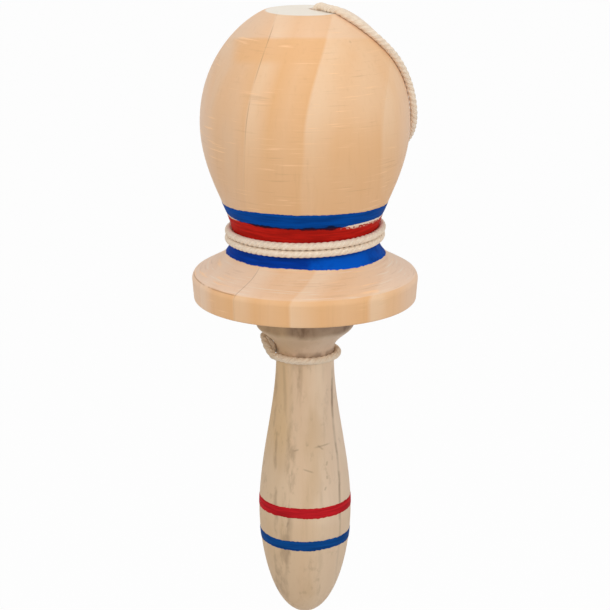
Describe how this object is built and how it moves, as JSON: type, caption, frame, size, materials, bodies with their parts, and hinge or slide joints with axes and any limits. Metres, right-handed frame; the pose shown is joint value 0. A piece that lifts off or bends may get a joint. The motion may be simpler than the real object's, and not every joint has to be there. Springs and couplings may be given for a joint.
{
  "type": "cup and ball toy",
  "caption": "Turned wooden bell with painted bands, parked on a peg handle, with its cotton cord wound round the waist and tied at the handle's neck.",
  "frame": {"origin": "middle of the hand grip at its widest ring, on the turning axis", "axes": "+Z along the turning axis from the grip up to the bell, +X to the viewer's right in the picture, -Y towards the viewer"},
  "size_m": [0.0798, 0.0825, 0.2254],
  "materials": {
    "bell_wood": "bare turned pine, satin",
    "handle_wood": "bare turned wood, satin",
    "blue_paint": "thin hand-brushed paint",
    "red_paint": "thin hand-brushed paint",
    "cord_cotton": "twisted cotton"
  },
  "bodies": {
    "handle": {"handle": "handle_wood", "handle_band_red": "red_paint", "handle_band_blue": "blue_paint"},
    "neck_loop": {"cord_neck_loop": "cord_cotton", "cord_neck_knot": "cord_cotton", "cord_drop": "cord_cotton"},
    "bell": {"bell": "bell_wood", "bell_band_upper_blue": "blue_paint", "bell_band_red": "red_paint", "bell_band_lower_blue": "blue_paint", "cord_top_stretch": "cord_cotton", "cord_waist_winding": "cord_cotton", "cord_stopper_knot": "cord_cotton"}
  },
  "joints": [
    {"name": "turn_on_peg", "type": "hinge", "parent": "handle", "child": "neck_loop", "pos_m": [0, 0, 0.0595], "axis": [0, 0, 1], "continuous": true},
    {"name": "lift_off_peg", "type": "slide", "parent": "neck_loop", "child": "bell", "axis": [0, 0, 1], "range_m": [0, 0.055], "deforming": ["cord_drop"]}
  ]
}
